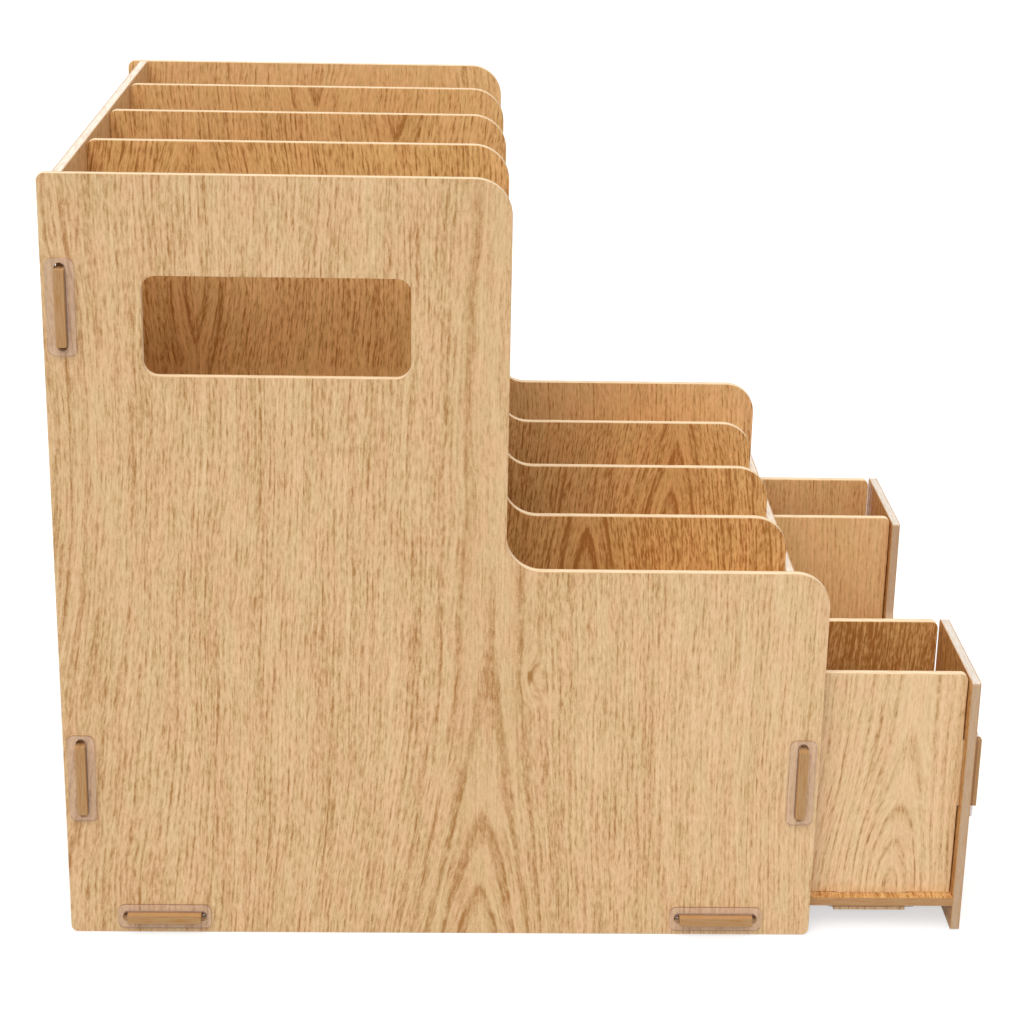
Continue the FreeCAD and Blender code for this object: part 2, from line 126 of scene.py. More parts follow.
class StageSettings(bpy.types.PropertyGroup):
    focal_length: bpy.props.FloatProperty(
        name="Focal length", description="Camera lens on a 36 mm sensor", default=79.6,
        subtype="DISTANCE_CAMERA", unit="CAMERA")
    distance: length_property("Distance", "Camera to the aimed point on the near side panel", 0.911)
    pitch: bpy.props.FloatProperty(
        name="Pitch", description="How far the camera looks down", default=math.radians(18.45),
        subtype="ANGLE", unit="ROTATION")
    yaw: bpy.props.FloatProperty(
        name="Yaw", description="How far the camera turns towards the drawer", default=math.radians(1.65),
        subtype="ANGLE", unit="ROTATION")
    roll: bpy.props.FloatProperty(
        name="Roll", description="Tilt of the camera about its line of sight", default=math.radians(1.15),
        subtype="ANGLE", unit="ROTATION")
    shift: bpy.props.FloatProperty(
        name="Shift", description="Vertical lens shift as a share of the picture", default=-0.09)
    floor_colour: colour_property("Floor", "Plain pale floor", (0.5, 0.5, 0.5))
    floor_lift: bpy.props.FloatProperty(
        name="Floor lift", description="Extra brightness of the floor to the camera and in gloss",
        default=0.6)
    room_light: bpy.props.FloatProperty(
        name="Room light", description="Strength of the even light from all round", default=0.58)
    key_light: bpy.props.FloatProperty(
        name="Key light", description="Strength of the soft light from high in front", default=1.38)
    top_light: bpy.props.FloatProperty(
        name="Top light", description="Strength of the soft light from above", default=1.0)


# ---------------------------------------------------------------- shader maths

class Wire:
    """A socket of a node tree that can be used in arithmetic."""

    def __init__(self, tree, socket):
        self.tree = tree
        self.socket = socket

    def maths(self, operation, *values):
        node = self.tree.nodes.new("ShaderNodeMath")
        node.operation = operation
        for number, value in enumerate(values):
            connect(self.tree, node.inputs[number], value)
        return Wire(self.tree, node.outputs[0])

    def __add__(self, other):
        return self.maths("ADD", self, other)

    def __radd__(self, other):
        return self.maths("ADD", other, self)

    def __sub__(self, other):
        return self.maths("SUBTRACT", self, other)

    def __rsub__(self, other):
        return self.maths("SUBTRACT", other, self)

    def __mul__(self, other):
        return self.maths("MULTIPLY", self, other)

    def __rmul__(self, other):
        return self.maths("MULTIPLY", other, self)

    def __truediv__(self, other):
        return self.maths("DIVIDE", self, other)

    def __pow__(self, other):
        return self.maths("POWER", self, other)

    def __abs__(self):
        return self.maths("ABSOLUTE", self)

    def root(self):
        return self.maths("SQRT", self)

    def larger(self, other):
        return self.maths("MAXIMUM", self, other)

    def fraction(self):
        return self.maths("FRACT", self)

    def sign(self):
        return self.maths("SIGN", self)

    def level_off(self, limit):
        """Follows small values and stays under the limit for large ones."""
        return self.maths("TANH", self / limit) * limit


def connect(tree, socket, value):
    if isinstance(value, Wire):
        tree.links.new(value.socket, socket)
    elif socket.type == "RGBA" and len(value) == 3:
        socket.default_value = (*value, 1.0)
    else:
        socket.default_value = value


class Finish:
    """A material or a world being wired up."""

    def __init__(self, block):
        self.block = block
        self.block.use_nodes = True
        self.tree = self.block.node_tree
        self.tree.nodes.clear()

    def node(self, kind, settings=None, output=0, **inputs):
        """Any node by type: first its settings, then its sockets, by name with _ for a space or as i0, i1."""
        node = self.tree.nodes.new(kind)
        for name, value in (settings or {}).items():
            setattr(node, name, value)
        for name, value in inputs.items():
            connect(self.tree, self.socket(node.inputs, name), value)
        return Wire(self.tree, self.socket(node.outputs, output)) if node.outputs else None

    @staticmethod
    def socket(sockets, name):
        if isinstance(name, int):
            return sockets[name]
        if name[0] == "i" and name[1:].isdigit():
            return sockets[int(name[1:])]
        return sockets[name.replace("_", " ")]

    def position(self):
        """The three Object coordinates, in millimetres."""
        place = self.node("ShaderNodeTexCoord", output="Object")
        parts = self.node("ShaderNodeSeparateXYZ", Vector=place).socket.node.outputs
        return [Wire(self.tree, part) * (1.0 / MM) for part in parts]

    def vector(self, first, second, third):
        return self.node("ShaderNodeCombineXYZ", i0=first, i1=second, i2=third)

    def noise(self, place, scale=1.0, detail=2.0, roughness=0.5):
        return self.node("ShaderNodeTexNoise", Vector=place, Scale=scale, Detail=detail,
                         Roughness=roughness)

    def ramp(self, value, low, high, start=0.0, end=1.0, kind="SMOOTHSTEP"):
        """A step from start to end as the value goes from low to high."""
        return self.node("ShaderNodeMapRange", {"interpolation_type": kind}, Value=value,
                         From_Min=low, From_Max=high, To_Min=start, To_Max=end)

    def blend(self, factor, first, second, mode="MIX"):
        return self.node("ShaderNodeMix", {"data_type": "RGBA", "blend_type": mode}, output=2,
                         i0=factor, i6=first, i7=second)

    def bump(self, height, distance, strength=0.5):
        return self.node("ShaderNodeBump", Height=height, Distance=distance, Strength=strength)

    def surface(self, **inputs):
        self.node("ShaderNodeOutputMaterial", Surface=self.node("ShaderNodeBsdfPrincipled", **inputs))
        return self.block

    def seen(self):
        """1 where the camera looks straight at it, in gloss or through clear plastic, and 0 for light."""
        direct, gloss, through = [
            self.node("ShaderNodeLightPath", output=ray)
            for ray in ("Is Camera Ray", "Is Glossy Ray", "Is Transmission Ray")]
        return direct.larger(gloss).larger(through)


# ---------------------------------------------------------------- materials

class Heart:
    """Where growth rings close into arches, in millimetres on the board.

    It has a place, a tilt (arch width gained per length along the grain), the reach and the
    strength of its rings, and the way they turn. The limit is where arches stop widening, lean
    slants them, and wander makes them uneven. Round arches have a point of 2, sharp ones nearer 1.
    """

    def __init__(self, across, along, tilt=0.1, reach=32.0, strength=1.0, turn=1.0,
                 limit=1000.0, lean=0.0, wander=5.0, point=2.0):
        self.across = across
        self.along = along
        self.tilt = tilt
        self.reach = reach
        self.strength = strength
        self.turn = turn
        self.limit = limit
        self.lean = lean
        self.wander = wander
        self.point = point


class Knot:
    """A small knot that pushes the fibres aside."""

    def __init__(self, across, along, size=5.0, push=5.0):
        self.across = across
        self.along = along
        self.size = size
        self.push = push


class Upper:
    """A second main heart, the heights between which it takes over, and a lift of the tone there that is
    painted light on the upper part.
    """

    def __init__(self, heart, low, high, lift):
        self.heart = heart
        self.low = low
        self.high = high
        self.lift = lift


class PaintedSideLight:
    """A painted light from one side: a lift of the tone that grows between two places across the grain."""

    def __init__(self, start, end, lift):
        self.start = start
        self.end = end
        self.lift = lift


class Sheet:
    """How a board was cut from the veneer.

    It has its hearts and knots, the axes along and across its grain, a seed for its noises, a
    share of painted shade inside (a darker, warmer tint standing in for shade and warm bounce light),
    a shift of its tone (partly the board's own tone, partly painted light and shade), the spread of
    its rings, an upper heart and a painted light from one side where there are any, and extra contrast.
    """

    def __init__(self, hearts, grain=Z, across=X, seed=0.0, inner=0.0, light=0.0, spread=1.0, knots=(),
                 upper=None, fade=None, vivid=0.0):
        self.hearts = hearts
        self.grain = grain
        self.across = across
        self.seed = seed
        self.inner = inner
        self.light = light
        self.spread = spread
        self.knots = knots
        self.upper = upper
        self.fade = fade
        self.vivid = vivid


# The veneer's noises: size across the grain and along it in millimetres, seed offset, detail.
NOISES = {
    "sway": (60.0, 170.0, 0.0, 1.0),
    "ripple": (15.0, 55.0, 5.0, 2.0),
    "wobble": (24.0, 42.0, 9.0, 2.0),
    "band": (8.0, 150.0, 21.0, 2.0),
    "patch": (7.0, 24.0, 25.0, 1.0),
    "breaks": (2.0, 9.0, 29.0, 2.0),
    "drift": (11.0, 60.0, 33.0, 1.0),
    "speck": (0.5, 0.8, 37.0, 1.0)}
# The pores: share of their width and length, seed offset, detail, roughness.
DASH = (1.0, 1.0, 13.0, 1.0, 0.5)
STREAK = (1.3, 9.0, 17.0, 2.0, 0.6)
EVEN = 0.5                              # the middle value of a noise
SWAY, RIPPLE, DRIFT = 9.0, 2.0, 2.0     # how far the noises shift the fibres and the fine lines
UPPER_SEED = 10.0                       # added to a sheet's seed for its upper heart
HANDOVER = 15.0                         # millimetres over which fibres run straight between hearts
NEAR, BEND_FROM, BEND_TO = 0.3, 0.6, 1.3  # shares of a heart's reach
INSIDE_ARCH = (0.15, 0.6)               # from here outwards, pores follow the arches
FURROW_LINE = (0.35, 0.74, 0.98)        # share of a spacing: darkening, darkest, pale again
RING_LINE = (0.38, 0.78, 0.98)
LINE_END = 0.02                         # how long a line stays darkest
FURROW_BREAKS, RING_BREAKS = (0.35, 0.62), (0.25, 0.60)
STRAIGHT_FURROW = 0.25                  # what is left of the fine lines inside an arch
BROKEN_RING = 0.45                      # what is left of a ring where it breaks
KNOT_STRETCH = 2.4                      # how much longer than wide a knot is
KNOT_PUSH_END, KNOT_SPOT = 2.0, (0.05, 0.5)  # in knot sizes: the end of its push, its dark spot
MIDDLE_TONE = 0.56
DARK_TONE, PLAIN_TONE, PALE_TONE = 0.06, 0.54, 0.98  # tones that get the dark, plain and pale colour
PAINTED_SHADE_CONTRAST = 0.5                    # extra contrast where shade is painted in
KNOT_DARKNESS = 0.5
HEART_CALM = 0.2                        # how much weaker the pores are close to a heart


def mottle(wood, kind, across, along, seed):
    """One of the veneer's noises."""
    width, length, offset, detail = NOISES[kind]
    return wood.noise(wood.vector(across / width, along / length, seed + offset), detail=detail)


def ring_distance(wood, fibre, along, heart, seed):
    """Distance from the heart, counted in growth: its level lines are the long arches."""
    wobble = mottle(wood, "wobble", fibre, along, seed)
    rise = along - heart.along
    side = fibre - heart.across - rise * heart.lean
    depth = (rise * heart.tilt).level_off(heart.limit) + (wobble - EVEN) * heart.wander
    return (abs(side) ** heart.point + abs(depth) ** heart.point) ** (1.0 / heart.point), side


def closeness(wood, distance, heart):
    """How strongly the rings of a heart show at a distance from it."""
    return wood.ramp(distance, heart.reach * NEAR, heart.reach, heart.strength, 0.0)


def main_growth(wood, fibre, along, sheet):
    """The field of the first heart, the side of it and its closeness, up to the upper heart's own."""
    field, side = ring_distance(wood, fibre, along, sheet.hearts[0], sheet.seed)
    close = closeness(wood, field, sheet.hearts[0])
    upper = sheet.upper
    if not upper:
        return field, side, close
    other, other_side = ring_distance(wood, fibre, along, upper.heart, sheet.seed + UPPER_SEED)
    other_close = closeness(wood, other, upper.heart)
    share = wood.ramp(along, upper.low, upper.high)
    between_hearts = (wood.ramp(along, upper.low - HANDOVER, upper.low)
                      * wood.ramp(along, upper.high, upper.high + HANDOVER, 1.0, 0.0))
    field = field + (other - field) * share
    side = (side + (other_side - side) * share) * (1.0 - between_hearts)
    return field, side, close + (other_close - close) * share


def growth(wood, fibre, along, sheet):
    """One field for the whole sheet, its side of the first heart, how close hearts are, and the knots."""
    field, first_side, close = main_growth(wood, fibre, along, sheet)
    for number, heart in enumerate(sheet.hearts[1:], start=1):
        distance, side = ring_distance(wood, fibre, along, heart, sheet.seed + number)
        bend = wood.ramp(distance, heart.reach * BEND_FROM, heart.reach * BEND_TO, heart.turn, 0.0)
        field = field + (distance - abs(side)) * bend
        close = close.larger(closeness(wood, distance, heart))
    spots = 0.0
    for knot in sheet.knots:
        side, rise = (fibre - knot.across) / knot.size, (along - knot.along) / (knot.size * KNOT_STRETCH)
        spread = (side * side + rise * rise).root()
        field = field + wood.ramp(spread, 0.0, KNOT_PUSH_END, knot.push, 0.0)
        spots = wood.ramp(spread, *KNOT_SPOT, 1.0, 0.0) + spots
    return field, first_side, close, spots


def dark_lines(wood, phase, shape):
    """A dark line once per unit of phase: it darkens slowly and ends sharply."""
    darkening, darkest, pale_again = shape
    share = phase.fraction()
    return (wood.ramp(share, darkening, darkest)
            * wood.ramp(share, darkest + LINE_END, pale_again, 1.0, 0.0))


def veneer_tone(wood, across, along, sheet, settings):
    """How pale the veneer is, from its pores, lines, rings, specks, bands and knots, and from the painted
    light and shade that its sheet gives.
    """
    seed = sheet.seed
    sway, ripple, drift = [mottle(wood, kind, across, along, seed) for kind in ("sway", "ripple", "drift")]
    fibre = across + (sway - EVEN) * SWAY + (ripple - EVEN) * RIPPLE
    field, side, close, spots = growth(wood, fibre, along, sheet)
    outside_arch = wood.ramp(abs(side) / field, *INSIDE_ARCH)

    def strand(wide, long, offset, detail, roughness):
        """Noise drawn out along the fibres, which follow the arches but run straight inside them."""
        width, length = settings.pore_width / MM * wide, settings.pore_length / MM * long
        bent, straight = [
            wood.noise(wood.vector(line / width, along / length, seed + offset), 1.0, detail, roughness)
            for line in (field * side.sign(), fibre)]
        return straight + (bent - straight) * outside_arch

    dash, streak = strand(*DASH), strand(*STREAK)
    band, patch, speck = [mottle(wood, kind, fibre, along, seed) for kind in ("band", "patch", "speck")]
    breaks = mottle(wood, "breaks", field, along, seed)
    furrow = dark_lines(wood, field / (settings.furrow_spacing / MM) + drift * DRIFT, FURROW_LINE)
    furrow = furrow * wood.ramp(breaks, *FURROW_BREAKS)
    furrow = furrow * (STRAIGHT_FURROW + outside_arch * (1.0 - STRAIGHT_FURROW))
    late = dark_lines(wood, field / (settings.ring_spacing / MM * sheet.spread), RING_LINE) * close
    late = late * wood.ramp(breaks, *RING_BREAKS, BROKEN_RING, 1.0)
    pores = ((dash - EVEN) * settings.dash_contrast + (streak - EVEN) * settings.streak_contrast
             - furrow * settings.furrow_contrast) * (1.0 - close * HEART_CALM)
    contrast = 1.0 + sheet.inner * PAINTED_SHADE_CONTRAST + sheet.vivid
    # The sheet's tone shift is partly the board's own tone and partly painted light and shade.
    tone = (MIDDLE_TONE + sheet.light + (pores - late * settings.ring_contrast) * contrast
            + (speck - EVEN) * settings.speck_contrast + (band - EVEN) * settings.band_contrast
            - spots * KNOT_DARKNESS)
    # Painted light: the upper part of the board is paler, as if lit more from above.
    if sheet.upper:
        tone = tone + wood.ramp(along, sheet.upper.low, sheet.upper.high, 0.0, sheet.upper.lift)
    # Painted light: the board gets paler towards the side the light comes from.
    if sheet.fade:
        tone = tone + wood.ramp(across, sheet.fade.start, sheet.fade.end, 0.0, sheet.fade.lift)
    return tone, patch


DULL_TONE, CLEAR_TONE = 0.15, 0.45          # pores below the first tone are the dullest
VENEER_ROUGHNESS, PORE_ROUGHNESS = 0.44, 0.2
PORE_DEPTH = 0.04 * MM
PATCHES = (0.35, 0.65)                      # from rosy patches to yellow ones


def oak_veneer(name, sheet, settings):
    """Oak veneer: growth rings as long arches about the heart, fine dark pores along the grain."""
    wood = Finish(bpy.data.materials.new(name))
    place = wood.position()
    tone, patch = veneer_tone(wood, place[sheet.across], place[sheet.grain], sheet, settings)
    darker = wood.ramp(tone, DARK_TONE, PLAIN_TONE, kind="LINEAR")
    paler = wood.ramp(tone, PLAIN_TONE, PALE_TONE, kind="LINEAR")
    colour = wood.blend(darker, settings.dark_wood, settings.plain_wood)
    colour = wood.blend(paler, colour, settings.pale_wood)
    tint = wood.blend(wood.ramp(patch, *PATCHES), settings.rosy_tint, settings.olive_tint)
    colour = wood.blend(1.0, colour, tint, "MULTIPLY")
    # Painted shade: the inside share darkens and warms the veneer where it lies in shade between the boards.
    if sheet.inner:
        colour = wood.blend(sheet.inner, colour, settings.painted_shade_tint, "MULTIPLY")
    dull = wood.ramp(tone, DULL_TONE, CLEAR_TONE, 1.0, 0.0)
    return wood.surface(
        Base_Color=colour, Roughness=VENEER_ROUGHNESS + dull * PORE_ROUGHNESS,
        Normal=wood.bump(tone, PORE_DEPTH))


LAYER_LENGTH, LAYER_THICKNESS, FLUFF = 8.0, 0.7, 0.55   # grain of the fibreboard, in millimetres
SKIN_START, SKIN_FULL = 0.65, 0.35                      # depths below a face, in millimetres
FLUFF_RANGE, LAYER_RANGE = (0.35, 0.75), (0.40, 0.70)
FLUFF_SHARE, SKIN_SHARE = 0.25, 0.75                    # how much of each colour shows
EDGE_ROUGHNESS, EDGE_DEPTH = 0.74, 0.06 * MM
LAYER_SHARE, TIP_LAYER_SHARE, BOTTOM_LAYER_SHARE = 0.3, 0.8, 0.7


def cut_fibreboard(name, thickness_axis, faces, core, settings, lines):
    """A cut edge: speckled fibreboard pressed in layers, between two thin lines of veneer."""
    cut = Finish(bpy.data.materials.new(name))
    place = cut.position()
    layered = [axis / LAYER_LENGTH for axis in place]
    layered[thickness_axis] = place[thickness_axis] / LAYER_THICKNESS
    layers = cut.noise(cut.vector(*layered), detail=2.0)
    fluff = cut.noise(cut.vector(*[axis / FLUFF for axis in place]), detail=3.0, roughness=0.6)
    low, high = [face / MM for face in faces]
    half = (high - low) / 2
    skin = cut.ramp(abs(place[thickness_axis] - (low + high) / 2), half - SKIN_START, half - SKIN_FULL)
    colour = cut.blend(cut.ramp(fluff, *FLUFF_RANGE) * FLUFF_SHARE, core, settings.dark_wood)
    colour = cut.blend(cut.ramp(layers, *LAYER_RANGE) * lines, colour, settings.dark_wood)
    colour = cut.blend(skin * SKIN_SHARE, colour, settings.skin)
    return cut.surface(Base_Color=colour, Roughness=EDGE_ROUGHNESS, Normal=cut.bump(fluff, EDGE_DEPTH))


FLOW_SIZE = 6.0                             # millimetres, of the unevenness in the moulded plastic
PLASTIC_ROUGHNESS, FLOW_ROUGHNESS, FLOW_COVER = 0.2, 0.1, 0.05


def clear_plastic(name, tint, cover):
    """Clear moulded plastic, seen through but for the given share."""
    clear = Finish(bpy.data.materials.new(name))
    flow = clear.noise(clear.vector(*[axis / FLOW_SIZE for axis in clear.position()]), detail=2.0)
    material = clear.surface(
        Base_Color=tint, Roughness=PLASTIC_ROUGHNESS + flow * FLOW_ROUGHNESS, Specular_IOR_Level=0.3,
        Alpha=cover + flow * FLOW_COVER)
    material.surface_render_method = "BLENDED"
    return material


# ---------------------------------------------------------------- modelling

MERGE_DISTANCE, CUT_DISTANCE = 0.002 * MM, 0.001 * MM
FLAT_ANGLE, SMOOTH_ANGLE = math.radians(1.0), math.radians(38)
SQUARE_ON, BROAD = 0.999, 0.8           # how squarely a face points along an axis
CLIP_FLAT, CLIP_RIM = 0.95, 0.3         # the same for a clip's flat faces and its rounded rims
# The rims' larger cover is a painted highlight and the sides' dark cover is a painted shade line.
FLAT_COVER, RIM_HIGHLIGHT_COVER, SIDE_SHADE_COVER = 0.11, 0.3, 0.4  # how much of what is behind a clip they hide
BOARD_SEGMENTS, RIM_SEGMENTS = 2, 3


def merged_copy(node):
    """The CAD board's mesh with its loose triangles joined and its flat faces made whole."""
    mesh = bmesh.new()
    mesh.from_mesh(frame["nodes"][node].data)
    bmesh.ops.remove_doubles(mesh, verts=mesh.verts, dist=MERGE_DISTANCE)
    bmesh.ops.dissolve_limit(
        mesh, angle_limit=FLAT_ANGLE, verts=mesh.verts, edges=mesh.edges, delimit={"NORMAL"})
    mesh.normal_update()
    return mesh


def flat_faces(mesh, axis):
    return [face for face in mesh.faces if abs(face.normal[axis]) > SQUARE_ON]


def ease_edges(mesh, axis, width, segments=BOARD_SEGMENTS):
    """Rounds the edges between the two broad faces of a board and its cut edges."""
    broad = set(flat_faces(mesh, axis))
    rims = [edge for edge in mesh.edges
            if len(edge.link_faces) == 2 and len(broad & set(edge.link_faces)) == 1]
    bmesh.ops.bevel(
        mesh, geom=rims, offset=width, offset_type="OFFSET", segments=segments, profile=0.5,
        affect="EDGES", clamp_overlap=True, material=-1)


def finished_object(name, mesh, materials):
    """Turns a bmesh into an object, smooth on its rounds and flat on its faces."""
    data = bpy.data.meshes.new(name)
    mesh.to_mesh(data)
    mesh.free()
    for material in materials:
        data.materials.append(material)
    data.polygons.foreach_set("use_smooth", [True] * len(data.polygons))
    data.set_sharp_from_angle(angle=SMOOTH_ANGLE)
    piece = bpy.data.objects.new(name, data)
    bpy.context.scene.collection.objects.link(piece)
    even = piece.modifiers.new("Even shading", "WEIGHTED_NORMAL")
    even.keep_sharp = True
    return piece


def dressed_board(node, thickness_axis, sheet, core=None, ends=None, tips=None, lines=LAYER_SHARE,
                  outside=None):
    """A veneered board in place of its plain solid: eased edges, veneer faces, cut edges.

    Cut edges that face along the axis of ends have its colour. What lies beyond the two places
    of tips, along its axis, belongs to tenons and is darker all round. The broad face on the high
    side has the sheet of outside, where one is given.
    """
    settings = bpy.context.scene.organizer_boards
    mesh = merged_copy(node)
    ease_edges(mesh, thickness_axis, settings.edge_ease)
    faces = board_faces(mesh, thickness_axis)

    def cut(label, colour, lines=lines):
        return cut_fibreboard("%s_%s" % (node, label), thickness_axis, faces, colour, settings, lines)

    materials = [oak_veneer(node + "_veneer", sheet, settings), cut("edge", core or settings.cut_core)]
    if ends:
        materials.append(cut("ends", ends[1]))
    if tips:
        tip_finish = cut("tips", settings.tip_core, TIP_LAYER_SHARE)
        materials.append(tip_finish)
        cut_across(mesh, *tips)
    if outside:
        for face in mesh.faces:
            if face.normal[thickness_axis] > BROAD:
                face.material_index = len(materials)
        materials.append(oak_veneer(node + "_outside", outside, settings))
    for face in mesh.faces:
        if tips and not tips[1] < face.calc_center_bounds()[tips[0]] < tips[2]:
            face.material_index = materials.index(tip_finish)
        elif abs(face.normal[thickness_axis]) < BROAD:
            face.material_index = 2 if ends and abs(face.normal[ends[0]]) > BROAD else 1
    piece = finished_object(node + "_dressed", mesh, materials)
    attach(piece, body_of(node))
    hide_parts(node)


def cut_across(mesh, axis, *places):
    """Divides the faces where tenons begin, so that those can have their own finish."""
    for place in places:
        corner, direction = Vector(), Vector()
        corner[axis], direction[axis] = place, 1.0
        everything = [*mesh.verts, *mesh.edges, *mesh.faces]
        bmesh.ops.bisect_plane(mesh, geom=everything, dist=CUT_DISTANCE, plane_co=corner, plane_no=direction)
    order_faces(mesh)


def order_faces(mesh):
    """Orders the faces by their corners, because cuts leave them in an order that varies."""
    mesh.verts.index_update()
    count = len(mesh.verts)

    def rank(face):
        first, second, third = sorted(vert.index for vert in face.verts)[:3]
        return (first * count + second) * count + third

    mesh.faces.sort(key=rank)
    mesh.faces.index_update()


def between(axis, low_node, high_node):
    """The space between two boards: tenons that reach out of it are in or beyond those boards."""
    return axis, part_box(low_node)[1][axis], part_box(high_node)[0][axis]


def board_faces(mesh, axis):
    places = [vert.co[axis] for vert in mesh.verts]
    return min(places), max(places)


def body_of(node):
    bodies = frame["record"]["behaviour"]["bodies"]
    return next(body for body, nodes in bodies.items() if node in nodes)


def dressed_clips(node, thickness_axis):
    """Clear clips in place of their plain solids, with rounded moulded rims; the rims are more opaque as a
    painted highlight and the sides are a painted dark line.
    """
    settings = bpy.context.scene.organizer_clips
    mesh = merged_copy(node)
    for vert in mesh.verts:
        vert.co -= vert.normal * vert.calc_shell_factor() * settings.clearance
    ease_edges(mesh, thickness_axis, settings.rim, RIM_SEGMENTS)
    for face in mesh.faces:
        facing = abs(face.normal[thickness_axis])
        face.material_index = 0 if facing > CLIP_FLAT else 1 if facing > CLIP_RIM else 2
    flat = clear_plastic(node + "_flat", settings.plastic, FLAT_COVER)
    # Painted highlight: the rims hide more of what lies behind, so they show pale.
    rim = clear_plastic(node + "_rim", settings.plastic, RIM_HIGHLIGHT_COVER)
    # Painted shade: the sides are a dark brown line.
    side = clear_plastic(node + "_side", settings.painted_side_shade, SIDE_SHADE_COVER)
    piece = finished_object(node + "_dressed", mesh, [flat, rim, side])
    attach(piece, body_of(node))
    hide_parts(node)


# ---------------------------------------------------------------- operators

class ORGANIZER_OT_side_panels(bpy.types.Operator):
    """Dress the two stepped side panels"""
    bl_idname = "organizer.side_panels"
    bl_label = "Side panels"

    def execute(self, context):
        foot_arches = Heart(across=-21.5, along=-24.0, tilt=0.26, reach=46.0, strength=1.5,
                            limit=25.0, lean=0.025, wander=1.6, point=1.6)
        rear_arches = Heart(across=-217.0, along=215.0, tilt=0.3, reach=78.0, strength=0.9,
                            turn=-1.0, limit=30.0, wander=7.0)
        knot = Knot(across=-1.0, along=122.0, size=3.6, push=3.0)
        # Painted light from the side: the near panel grows paler between 10 and 110 mm across.
        near = Sheet([foot_arches, rear_arches], seed=1.3, spread=1.9, knots=[knot],
                     fade=PaintedSideLight(start=10.0, end=110.0, lift=0.12))
        # Painted shade and light: the far panel's inside share darkens it and its tone shift lifts it again.
        far = Sheet([Heart(across=-60.0, along=-40.0, tilt=0.12, reach=34.0)],
                    seed=31.7, inner=0.65, light=0.18)
        dressed_board("near_side_panel", Y, near)
        dressed_board("far_side_panel", Y, far)
        return {"FINISHED"}


class ORGANIZER_OT_dividers(bpy.types.Operator):
    """Dress the three stepped dividers"""
    bl_idname = "organizer.dividers"
    bl_label = "Dividers"

    def execute(self, context):
        low_places = ((26.0, 138.0), (70.0, 133.0), (79.0, 134.0))
        high_places = ((-142.9, 273.0), (-60.0, 350.0), (-100.0, 352.0))
        # Painted shade for each divider: its inside share and a darkening of its tone.
        shades = ((1.0, -0.08), (0.9, -0.06), (0.85, -0.03))
        tips = between(X, "back_panel", "drawer_front")
        for number, (low, high, shade) in enumerate(zip(low_places, high_places, shades), start=1):
            low_heart = Heart(*low, tilt=0.24, reach=20.0, strength=1.6, point=1.4, wander=1.5)
            high_heart = Heart(*high, tilt=0.22, reach=20.0, strength=1.4, point=1.4, wander=1.5)
            # The lift is painted light on the divider's upper part, more on the farther dividers.
            upper = Upper(high_heart, low=185.0, high=230.0, lift=0.08 + 0.04 * number)
            sheet = Sheet([low_heart], seed=40.0 + 7.3 * number, inner=shade[0], light=shade[1],
                          spread=2.2, upper=upper)
            dressed_board("divider_%d" % number, Y, sheet, tips=tips)
        return {"FINISHED"}


class ORGANIZER_OT_cross_boards(bpy.types.Operator):
    """Dress the back panel, the front board and the back of the drawer bay"""
    bl_idname = "organizer.cross_boards"
    bl_label = "Cross boards"

    def execute(self, context):
        settings = context.scene.organizer_boards
        # Painted shade: the inside share darkens the back panel and the back of the drawer bay.
        back = Sheet([Heart(across=-20.0, along=-60.0, tilt=0.11, reach=40.0)],
                     across=Y, seed=71.0, inner=0.3)
        front = Sheet([Heart(across=133.0, along=-200.0, tilt=0.05, reach=26.0)],
                      across=Z, grain=Y, seed=77.0)
        bay_back = Sheet([Heart(across=30.0, along=-60.0, tilt=0.11, reach=34.0)],
                         across=Y, seed=83.0, inner=0.3)
        tips = between(Y, "near_side_panel", "far_side_panel")
        dressed_board("back_panel", X, back, settings.white_core, tips=tips)
        dressed_board("front_board", X, front, settings.white_core, tips=tips)
        dressed_board("bay_back_board", X, bay_back, tips=tips)
        return {"FINISHED"}


class ORGANIZER_OT_shelves(bpy.types.Operator):
    """Dress the floor board and the deck over the drawer"""
    bl_idname = "organizer.shelves"
    bl_label = "Floor and deck"

    def execute(self, context):
        floor = Sheet([Heart(across=20.0, along=-320.0, tilt=0.1, reach=40.0)],
                      grain=X, across=Y, seed=91.0)
        deck = Sheet([Heart(across=70.0, along=-260.0, tilt=0.1, reach=36.0)],
                     grain=Y, across=X, seed=97.0)
        tips = between(Y, "near_side_panel", "far_side_panel")
        dressed_board("floor_board", Z, floor, tips=tips)
        dressed_board("deck_board", Z, deck, tips=tips)
        return {"FINISHED"}


class ORGANIZER_OT_drawer(bpy.types.Operator):
    """Dress the drawer's front, bottom and back"""
    bl_idname = "organizer.drawer"
    bl_label = "Drawer"

    def execute(self, context):
        settings = context.scene.organizer_boards
        # Painted shade: the drawer front's inner face and the bottom are darkened by their inside share and
        # tone shift; the outer face has the board's own tone.
        front = Sheet([Heart(across=-10.0, along=-70.0, tilt=0.16, reach=40.0)],
                      across=Y, seed=103.0, inner=1.0, light=-0.2)
        outside = Sheet([Heart(across=-30.0, along=-60.0, tilt=0.12, reach=40.0, strength=0.8)],
                        across=Y, seed=105.0, inner=0.2, light=0.1)
        bottom = Sheet([Heart(across=150.0, along=-230.0, tilt=0.1, reach=36.0)],
                       grain=Y, across=X, seed=109.0, inner=0.8, light=-0.1)
        back = Sheet([Heart(across=-40.0, along=-40.0, tilt=0.16, reach=36.0)], across=Y, seed=113.0)
        tips = between(X, "drawer_back", "drawer_front")
        dressed_board("drawer_front", X, front, settings.grey_core, (Y, settings.rosy_core), outside=outside)
        dressed_board("drawer_bottom", Z, bottom, settings.brown_core, tips=tips,
                      lines=BOTTOM_LAYER_SHARE)
        dressed_board("drawer_back", X, back)
        return {"FINISHED"}


